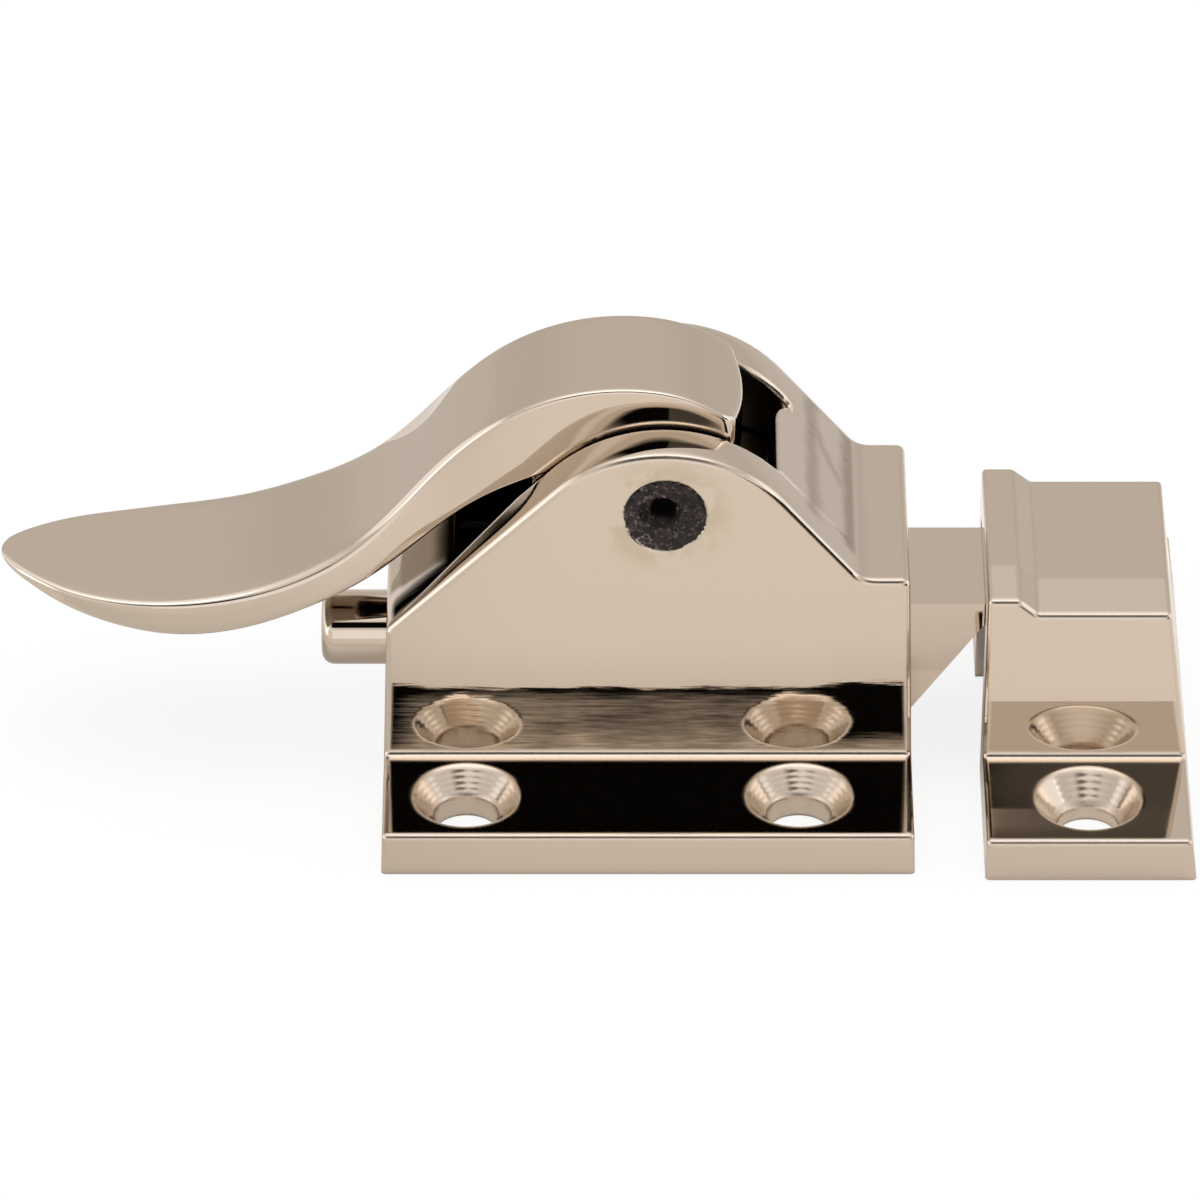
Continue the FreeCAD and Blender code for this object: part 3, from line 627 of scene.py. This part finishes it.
def lever_outline():
    """Half of the plan outline, from the tip along the rear edge to the middle of the nose."""
    half_count = 700
    side = [(LEVER_TIP, 0.0)] + LEVER_SIDE
    mirrored = [(x, -y) for x, y in reversed(LEVER_SIDE)]
    rear = natural_spline(mirrored + side, 2 * half_count + 1)[half_count:]
    end_x, half = LEVER_SIDE[-1]
    top_y = half - NOSE_CORNER
    centre_x = LEVER_NOSE - NOSE_BOW - NOSE_CORNER
    corner = [(centre_x + NOSE_CORNER * math.sin(a), top_y + NOSE_CORNER * math.cos(a))
              for a in np.linspace(0, math.pi / 2, 24)]
    nose = [(LEVER_NOSE - NOSE_BOW * (y / top_y) ** 2, y) for y in np.linspace(top_y, 0, 60)[1:]]
    straight = [(x, half) for x in np.linspace(end_x, centre_x, 8)[1:-1]]
    return np.array(list(rear) + straight + corner + nose)


def even(points, count):
    """The same line with evenly spaced points."""
    step = np.linalg.norm(np.diff(points, axis=0), axis=1)
    t = np.concatenate(([0.0], np.cumsum(step)))
    at = np.linspace(0, t[-1], count)
    return np.column_stack([np.interp(at, t, points[:, 0]), np.interp(at, t, points[:, 1])])


def lever_rings(outline, inward, top, under):
    """Closed rings of points down the lever's side: upper rim, wall and lower rim."""
    thick = top(outline[:, 0]) - under(outline[:, 0])
    rim_x, rim_size = np.array(LEVER_RIM).T
    rim = np.minimum(np.interp(outline[:, 0], rim_x, rim_size), 0.5 * thick)
    foot = np.minimum(LEVER_FOOT, 0.35 * thick)
    rings = []
    for a in np.linspace(math.pi / 2, 0, RIM_STEPS):
        at = outline + inward * (rim * (1 - math.cos(a)))[:, None]
        rings.append(np.column_stack([at, top(at[:, 0]) - rim * (1 - math.sin(a))]))
    low = under(outline[:, 0]) + foot
    high = top(outline[:, 0]) - rim
    for share in (0.25, 0.5, 0.75):
        rings.append(np.column_stack([outline, high + (low - high) * share]))
    for a in np.linspace(0, math.pi / 2, FOOT_STEPS):
        at = outline + inward * (foot * (1 - math.cos(a)))[:, None]
        rings.append(np.column_stack([at, under(at[:, 0]) + foot * (1 - math.sin(a))]))
    return rings


def lever_mesh():
    """The lever's skin around its core."""
    rear = even(lever_outline(), LEVER_POINTS)
    front = rear[::-1][1:-1] * (1, -1)
    outline = np.vstack([rear, front])
    count = len(outline)
    ahead = np.roll(outline, -1, axis=0) - np.roll(outline, 1, axis=0)
    ahead /= np.linalg.norm(ahead, axis=1)[:, None]
    inward = np.column_stack([ahead[:, 1], -ahead[:, 0]])
    rear_point = count // 8
    if inward[rear_point, 1] > 0:
        inward = -inward
    top = height_along(LEVER_TOP)
    under = height_along(LEVER_UNDER)
    rings = lever_rings(outline, inward, top, under)
    verts = [tuple(p * MM) for ring in rings for p in ring]
    faces = []
    for r in range(len(rings) - 1):
        for i in range(count):
            j = (i + 1) % count
            faces.append((r * count + i, r * count + j, (r + 1) * count + j, (r + 1) * count + i))

    # Top and underside, as rows of faces from the rear rim across to the front rim
    for r, height in ((0, top), (len(rings) - 1, under)):
        ring = rings[r]
        rows = []
        for i in range(len(rear)):
            partner = (count - i) % count
            if partner == i or i == len(rear) - 1:
                rows.append([r * count + i])
                continue
            a, b = ring[i], ring[partner]
            row = [r * count + i]
            for k in range(1, LEVER_ACROSS):
                p = a + (b - a) * k / LEVER_ACROSS
                row.append(len(verts))
                verts.append((p[0] * MM, p[1] * MM, float(height(p[0])) * MM))
            row.append(r * count + partner)
            rows.append(row)
        for p, q in zip(rows, rows[1:]):
            if len(p) == 1:
                faces.extend((p[0], q[k + 1], q[k]) for k in range(LEVER_ACROSS))
            elif len(q) == 1:
                faces.extend((p[k], p[k + 1], q[0]) for k in range(LEVER_ACROSS))
            else:
                faces.extend((p[k], p[k + 1], q[k + 1], q[k]) for k in range(LEVER_ACROSS))
    mesh = bpy.data.meshes.new("lever_skin")
    mesh.from_pydata(verts, [], faces)
    mesh.validate()
    bm = bmesh.new()
    bm.from_mesh(mesh)
    bmesh.ops.recalc_face_normals(bm, faces=bm.faces)
    add_lever_core(bm)
    for face in bm.faces:
        face.smooth = True
    bm.to_mesh(mesh)
    bm.free()
    return mesh


def cut_away(bm, point, direction):
    """Remove what lies beyond a plane, given in millimetres."""
    geometry = list(bm.verts) + list(bm.edges) + list(bm.faces)
    plane = tuple(value * MM for value in point)
    bmesh.ops.bisect_plane(bm, geom=geometry, plane_co=plane, plane_no=direction, clear_outer=True)


def add_lever_core(bm):
    """Hub, heel and finger below the skin, from the CAD lever, a little narrower than the skin."""
    core = bmesh.new()
    core.from_mesh(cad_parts["lever"].data)
    cut_away(core, (-9.3, 0, 0), (-1, 0, 0))
    cut_away(core, (0, 0, 36.2), (0, 0, 1))
    for vert in core.verts:
        vert.co.y *= 0.98
    bmesh.ops.recalc_face_normals(core, faces=core.faces)
    spare = bpy.data.meshes.new("lever_core")
    core.to_mesh(spare)
    core.free()
    bm.from_mesh(spare)
    bpy.data.meshes.remove(spare)


# Pin

def ease(value, low, high):
    u = min(max((value - low) / (high - low), 0.0), 1.0)
    return u * u * (3 - 2 * u)


def socket_depth(x, z):
    """Depth of the pin's battered socket at a place on its face, from the pin's axis, in millimetres."""
    warp = fractal.noise_vector(Vector((x * 0.9, 0.0, z * 0.9)))
    ragged = fractal.noise_vector(Vector((x * 3.5, 5.0, z * 3.5)))
    x += 0.28 * warp[0] + 0.10 * ragged[0]
    z += 0.28 * warp[2] + 0.10 * ragged[2]
    bowl = 1.0 - math.hypot((x + 0.45) / 1.98, (z - 0.35) / 1.62)
    hole = 1.0 - ((abs(x + 0.15) / 1.18) ** 4 + (abs(z - 0.45) / 1.2) ** 4) ** 0.25
    return 0.7 * ease(bowl, 0.0, 0.12) + 2.4 * ease(hole, 0.0, 0.10)


def pin_rim(angle):
    """Ragged radius of the pin's head, in millimetres."""
    wavy = fractal.noise(Vector((3 * math.cos(angle), 1.0, 3 * math.sin(angle))))
    ragged = fractal.noise(Vector((14 * math.cos(angle), 7.0, 14 * math.sin(angle))))
    return PIN_RADIUS * (1 + 0.036 * wavy + 0.090 * ragged)


def pin_mesh():
    """Rough, battered head on the CAD pin's shank."""
    fractal.seed_set(SOCKET_SEED)
    bm = bmesh.new()
    bm.from_mesh(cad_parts["pivot_pin"].data)
    cut = -BODY_HALF + PIN_HEAD
    cut_away(bm, (0, cut, 0), (0, -1, 0))
    axis_x, axis_z = PIN_AXIS
    previous = None
    for r in range(PIN_RINGS + 2):
        ring = []
        for k in range(PIN_AROUND):
            angle = 2 * math.pi * k / PIN_AROUND
            reach = pin_rim(angle) * min(r / PIN_RINGS, 1.0)
            dx, dz = reach * math.cos(angle), reach * math.sin(angle)
            rough = fractal.fractal(Vector((dx * 1.3, 0.0, dz * 1.3)), 0.6, 2.2, 6)
            depth = socket_depth(dx, dz)
            y = -BODY_HALF - 0.10 + 0.10 * max(min(rough, 0.8), -1.6) + depth
            if r < PIN_RINGS * 0.9 and depth < 0.05:
                y = min(y, -BODY_HALF + 0.3)
            y += (-BODY_HALF - 0.02 - y) * ease(r / PIN_RINGS, 0.94, 1.0)
            if r > PIN_RINGS:
                # Sleeve down to the shank
                y = cut
                dx, dz = (PIN_RADIUS - 0.03) * math.cos(angle), (PIN_RADIUS - 0.03) * math.sin(angle)
            ring.append(bm.verts.new(((axis_x + dx) * MM, y * MM, (axis_z + dz) * MM)))
        if previous:
            for k in range(PIN_AROUND):
                n = (k + 1) % PIN_AROUND
                bm.faces.new((previous[k], previous[n], ring[n], ring[k]))
        previous = ring
    bmesh.ops.remove_doubles(bm, verts=bm.verts, dist=1e-7)
    bmesh.ops.recalc_face_normals(bm, faces=bm.faces)
    mesh = bpy.data.meshes.new("pin_rough")
    bm.to_mesh(mesh)
    bm.free()
    return mesh


# Spring

def spring_mesh():
    """Coil of round wire around the bolt's tail, capped at both ends."""
    start = SPRING_SEAT + WIRE_RADIUS + 0.05
    end = BOLT_SHOULDER - WIRE_RADIUS - 0.05
    steps, around = COIL_STEPS, WIRE_AROUND
    side = np.array([1.0, 0.0, 0.0])
    verts, faces = [], []
    for i in range(steps + 1):
        u = i / steps
        angle = 2 * math.pi * COIL_TURNS * u
        out = np.array([0.0, math.cos(angle), math.sin(angle)])
        centre = np.array([start + (end - start) * u, 0.0, TAIL_HEIGHT]) + COIL_RADIUS * out
        for k in range(around):
            b = 2 * math.pi * k / around
            verts.append(tuple((centre + WIRE_RADIUS * (math.cos(b) * out + math.sin(b) * side)) * MM))
    for i in range(steps):
        for k in range(around):
            n = (k + 1) % around
            faces.append((i * around + k, i * around + n, (i + 1) * around + n, (i + 1) * around + k))
    faces.append(tuple(range(around)))
    faces.append(tuple(steps * around + k for k in reversed(range(around))))
    mesh = bpy.data.meshes.new("spring_coil")
    mesh.from_pydata(verts, [], faces)
    mesh.validate()
    mesh.shade_smooth()
    return mesh


# Surroundings

def make_world():
    """A light tent: white overhead and at both sides, paler behind, with a dark opening around the camera."""
    world = bpy.data.worlds.new("tent")
    bpy.context.scene.world = world
    world.use_nodes = True
    tree = world.node_tree
    background = tree.nodes["Background"]
    x, y, z = parts(tree, tree.nodes.new("ShaderNodeTexCoord").outputs["Generated"])
    lateral = calc(tree, "ABSOLUTE", x)
    ahead = product(tree, y, -1.0)
    front = map_range(tree, ahead, 0.05, 0.30)
    heading = calc(tree, "DIVIDE", lateral, calc(tree, "MAXIMUM", ahead, 0.02))

    # Walls and roof, a little dimmer at middle height
    level = map_range(tree, z, 0.56, 0.97, 0.72, 1.28)
    dip = between(tree, z, 0.10, 0.26, 0.38, 0.54)
    level = calc(tree, "SUBTRACT", level, product(tree, dip, DIP_DEPTH))

    # Bright strip high in front, bright sides and brighter front wings
    strip = product(tree, between(tree, z, 0.84, 0.92, 0.985, 0.997), map_range(tree, y, 0.02, -0.10))
    level = calc(tree, "ADD", level, product(tree, strip, STRIP_GLOW))
    level = calc(tree, "MAXIMUM", level, map_range(tree, lateral, 0.60, 0.82, 0.0, SIDE_LEVEL))
    wings = product(tree, map_range(tree, lateral, 0.74, 0.84), map_range(tree, y, -0.15, -0.30))
    level = calc(tree, "ADD", level, product(tree, wings, WING_GLOW))

    # Lower front, with dark corners near the table
    low_front = product(tree, front, map_range(tree, z, 0.52, 0.46, 0.0, LOW_FRONT_LEVEL))
    level = calc(tree, "MAXIMUM", level, low_front)
    table_edge = product(tree, front, map_range(tree, z, 0.41, 0.34, 0.0, TABLE_EDGE_GLOW))
    level = calc(tree, "ADD", level, table_edge)
    corner = product(tree, between(tree, heading, 0.24, 0.40, 1.7, 2.6),
                     map_range(tree, calc(tree, "ABSOLUTE", z), 0.30, 0.20), front,
                     map_range(tree, x, -0.05, 0.05, 0.25, 1.0))
    level = product(tree, level, calc(tree, "SUBTRACT", 1.0, product(tree, corner, CORNER_DEPTH)))

    # Opening, taller and less deep to the right
    raised = calc(tree, "SUBTRACT", z, map_range(tree, x, 0.032, 0.042, 0.0, 0.035))
    opening = product(tree, map_range(tree, z, 0.455, 0.525), map_range(tree, raised, 0.76, 0.71),
                      map_range(tree, heading, 0.75, 0.35), front)
    depth = map_range(tree, x, 0.032, 0.042, OPENING_DEPTH, OPENING_DEPTH_RIGHT)
    level = product(tree, level, calc(tree, "SUBTRACT", 1.0, product(tree, opening, depth)))

    camera_ray = tree.nodes.new("ShaderNodeLightPath").outputs["Is Camera Ray"]
    link(tree, calc(tree, "MAXIMUM", level, camera_ray), background.inputs["Strength"])
    lit = calc(tree, "MAXIMUM", map_range(tree, level, 0.8, 1.25), camera_ray)
    link(tree, mix_colours(tree, lit, DIM_LIGHT, FULL_LIGHT), background.inputs["Color"])


def mix_shaders(tree, share, first, second):
    node = tree.nodes.new("ShaderNodeMixShader")
    link(tree, share, node.inputs[0])
    link(tree, first, node.inputs[1])
    link(tree, second, node.inputs[2])
    return node.outputs[0]


def make_floor():
    """White table, plain white to the camera with the object's soft shadow kept, and small in reflections."""
    corners = [(x * TABLE_HALF, y * TABLE_HALF, 0) for x, y in ((-1, -1), (1, -1), (1, 1), (-1, 1))]
    mesh = bpy.data.meshes.new("table")
    mesh.from_pydata(corners, [], [(0, 1, 2, 3)])
    mat, tree, shader = new_material("white_table")
    tree.nodes.remove(shader)
    x, y = parts(tree, place(tree))[:2]
    diffuse = tree.nodes.new("ShaderNodeBsdfDiffuse")
    glow = tree.nodes.new("ShaderNodeEmission")
    glow.inputs["Color"].default_value = (1.0, 1.0, 1.0, 1.0)
    glow.inputs["Strength"].default_value = 1.0
    path = tree.nodes.new("ShaderNodeLightPath")
    sharp = calc(tree, "MAXIMUM", path.outputs["Is Glossy Ray"], path.outputs["Is Transmission Ray"])
    share = calc(tree, "MAXIMUM", product(tree, path.outputs["Is Camera Ray"], CAMERA_WHITE),
                 product(tree, sharp, map_range(tree, y, 95.0, 125.0, 0.16, 0.9)))

    # In reflections the paper is warmer, with a painted shadow as a darker strip before the front flanges and
    # painted shade on its left side
    near = calc(tree, "MAXIMUM", map_range(tree, y, -42.0, -28.0, PAPER_TONE, PAPER_SHADOW_NEAR),
                map_range(tree, y, -25.0, -21.0, 0.0, PAPER_TONE))
    left = map_range(tree, x, -5.0, -35.0, 1.0, 0.85)
    shade = calc(tree, "ADD", calc(tree, "SUBTRACT", 1.0, sharp), product(tree, sharp, near, left))
    green = calc(tree, "SUBTRACT", PAPER_WHITE, product(tree, sharp, 0.055))
    blue = calc(tree, "SUBTRACT", PAPER_WHITE, product(tree, sharp, 0.12))
    paper = vmath(tree, "SCALE", combine(tree, PAPER_WHITE, green, blue), scale=shade)
    link(tree, paper, diffuse.inputs["Color"])
    table = mix_shaders(tree, share, diffuse.outputs[0], glow.outputs[0])

    # Metal sees the table as far as its round edge, and the tent beyond it
    beyond = map_range(tree, vmath(tree, "LENGTH", combine(tree, x, y, 0.0)), 150.0, 190.0)
    clear = tree.nodes.new("ShaderNodeBsdfTransparent")
    surface = mix_shaders(tree, product(tree, beyond, sharp), table, clear.outputs[0])
    link(tree, surface, tree.nodes["Material Output"].inputs["Surface"])
    floor = add_object("table", mesh, mat)
    floor.location.z = -0.00005


def make_lamp():
    """Soft box overhead, for the contact shadow only."""
    data = bpy.data.lights.new("soft_box", "AREA")
    data.shape = "DISK"
    data.size = 0.5
    data.energy = 2.0
    lamp = bpy.data.objects.new("soft_box", data)
    lamp.location = (0.0, 0.1, 1.1)
    lamp.visible_glossy = False
    bpy.context.scene.collection.objects.link(lamp)


def make_camera():
    data = bpy.data.cameras.new("camera")
    data.sensor_width = 36.0
    data.sensor_fit = "HORIZONTAL"
    data.lens = CAMERA_LENS
    data.clip_start = 0.05
    data.clip_end = 20.0
    camera = bpy.data.objects.new("camera", data)
    back = Vector((0.0, -math.cos(CAMERA_ELEVATION), math.sin(CAMERA_ELEVATION)))
    camera.location = CAMERA_TARGET + back * CAMERA_DISTANCE
    camera.rotation_euler = (math.pi / 2 - CAMERA_ELEVATION, 0.0, 0.0)
    bpy.context.scene.collection.objects.link(camera)
    bpy.context.scene.camera = camera


# Scene

def add_object(name, mesh, material):
    obj = bpy.data.objects.new(name, mesh)
    bpy.context.scene.collection.objects.link(obj)
    obj.data.materials.clear()
    obj.data.materials.append(material)
    return obj


def sharpen(obj, angle=30.0):
    """Smooth shading up to an angle in degrees, kept sharp at real edges."""
    mesh = obj.data
    mesh.shade_smooth()
    mesh.set_sharp_from_angle(angle=math.radians(angle))


def main():
    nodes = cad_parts
    case_nickel = polished_nickel("nickel_case", CASE_HOLES, rim=CAST_RIM, worn=True, shaded_inside=True)
    strike_nickel = polished_nickel("nickel_strike", STRIKE_HOLES, cone_lift=0.14, rim=CAST_RIM, hollow=True)
    lever_nickel = polished_nickel("nickel_lever", shoulder_and_under_shade=True)
    bolt_nickel = polished_nickel("nickel_bolt", shaded_inside=True)
    for name, material in (("case", case_nickel), ("strike", strike_nickel), ("latch_bolt", bolt_nickel)):
        nodes[name].data.materials.clear()
        nodes[name].data.materials.append(material)
        sharpen(nodes[name])

    pin = add_object("pin_rough", pin_mesh(), black_steel())
    sharpen(pin, 60.0)
    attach(pin, "case")
    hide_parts("pivot_pin")

    lever = add_object("lever_skin", lever_mesh(), lever_nickel)
    lever.data.set_sharp_from_angle(angle=math.radians(40))
    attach(lever, "lever")
    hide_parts("lever")

    spring = add_object("spring_coil", spring_mesh(), drawn_wire())
    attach(spring, "case")
    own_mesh(spring)
    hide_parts("bolt_spring")

    make_world()
    make_floor()
    make_lamp()
    make_camera()
    bpy.context.scene.view_settings.view_transform = "Standard"


main()
